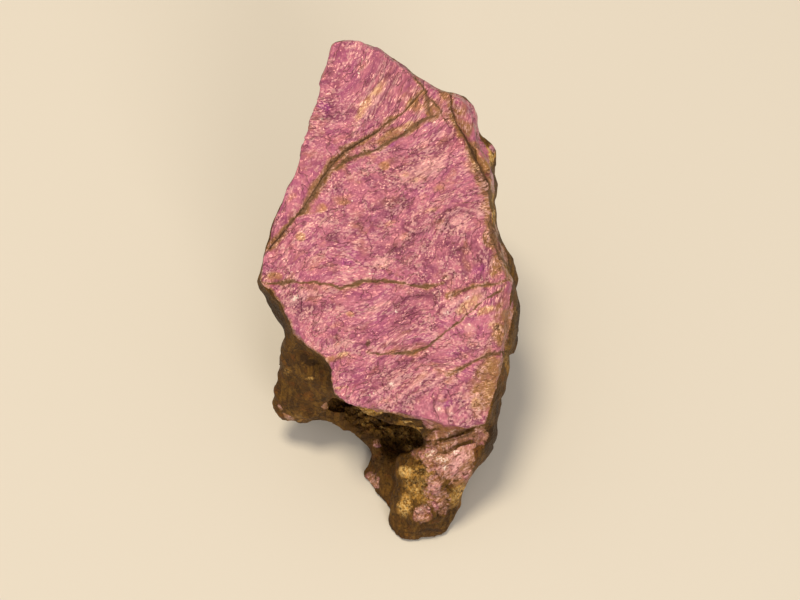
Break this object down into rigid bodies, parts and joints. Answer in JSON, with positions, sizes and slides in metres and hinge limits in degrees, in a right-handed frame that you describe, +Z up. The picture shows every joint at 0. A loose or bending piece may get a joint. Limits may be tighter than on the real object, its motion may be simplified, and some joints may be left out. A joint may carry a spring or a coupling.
{
  "type": "purpurite specimen",
  "caption": "Cleaved lump of purple purpurite with a brown oxide crust, leaning back on small flat spots of its underside.",
  "frame": {"origin": "centre of the bounding box's floor rectangle, at the height of the surface that the stone rests on", "axes": "+Z up; +Y from the low foot towards the raised head; +X to the right for someone who looks at the purple face, which slopes up towards +Y at 33 degrees"},
  "size_m": [0.0142, 0.022, 0.0169],
  "materials": {
    "purpurite": "satin cleavage, with dull brown crust in the cracks and on the broken sides"
  },
  "bodies": {
    "root": {"purpurite": "purpurite"}
  },
  "joints": []
}
